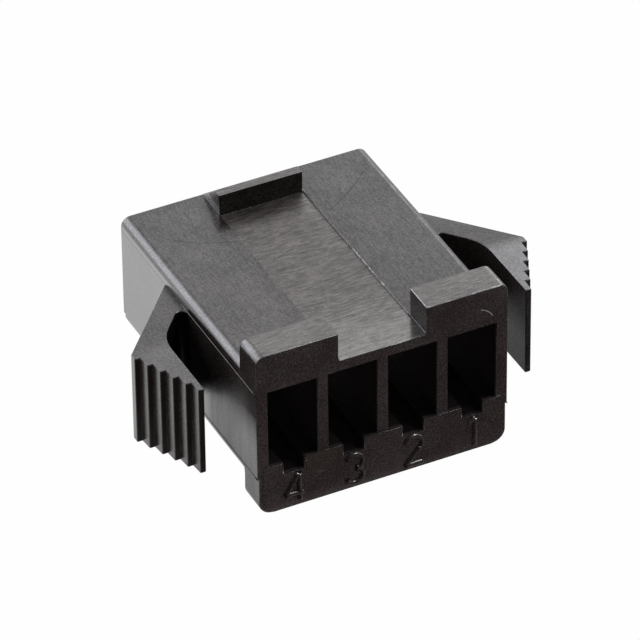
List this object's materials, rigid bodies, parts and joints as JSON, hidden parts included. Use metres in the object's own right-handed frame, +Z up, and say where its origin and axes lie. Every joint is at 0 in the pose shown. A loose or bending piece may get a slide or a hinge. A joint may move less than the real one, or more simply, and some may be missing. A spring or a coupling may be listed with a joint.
{
  "type": "wire connector housing",
  "caption": "One-piece moulded wire connector housing: a row of wire cavities in front, an open mating hood behind, and a ribbed squeeze wing on each side.",
  "frame": {"origin": "on the surface that the foot rests on, at the middle of the length and of the width over the wings", "axes": "+X along the row of cavities, from position 4 to position 1; +Y from the wire entries in front to the mating mouth; +Z up, away from the foot"},
  "size_m": [0.0166, 0.012, 0.0074],
  "materials": {
    "black_nylon": "satin, with the fine marks of a ground mould"
  },
  "bodies": {
    "root": {"housing": "black_nylon"}
  },
  "joints": []
}
